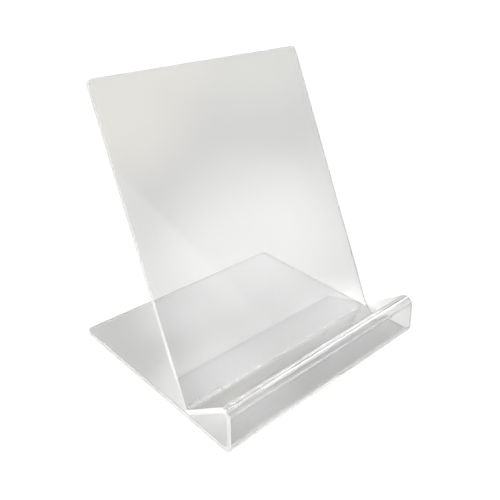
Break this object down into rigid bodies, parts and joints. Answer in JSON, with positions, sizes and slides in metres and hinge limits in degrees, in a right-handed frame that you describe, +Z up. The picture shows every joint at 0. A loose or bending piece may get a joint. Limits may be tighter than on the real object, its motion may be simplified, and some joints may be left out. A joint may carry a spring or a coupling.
{
  "type": "photo album stand",
  "caption": "Clear display stand bent from one acrylic sheet: an album's lower edge sits in the trough and its back leans on the tall panel.",
  "frame": {"origin": "on the table, under the middle of the stand's width and depth", "axes": "+X across the width, +Y from the front wall towards the rear of the base, +Z up"},
  "size_m": [0.2, 0.1744, 0.2151],
  "materials": {
    "clear_acrylic": "clear, glossy cast acrylic with polished edges"
  },
  "bodies": {
    "root": {"bent_acrylic_sheet": "clear_acrylic"}
  },
  "joints": []
}
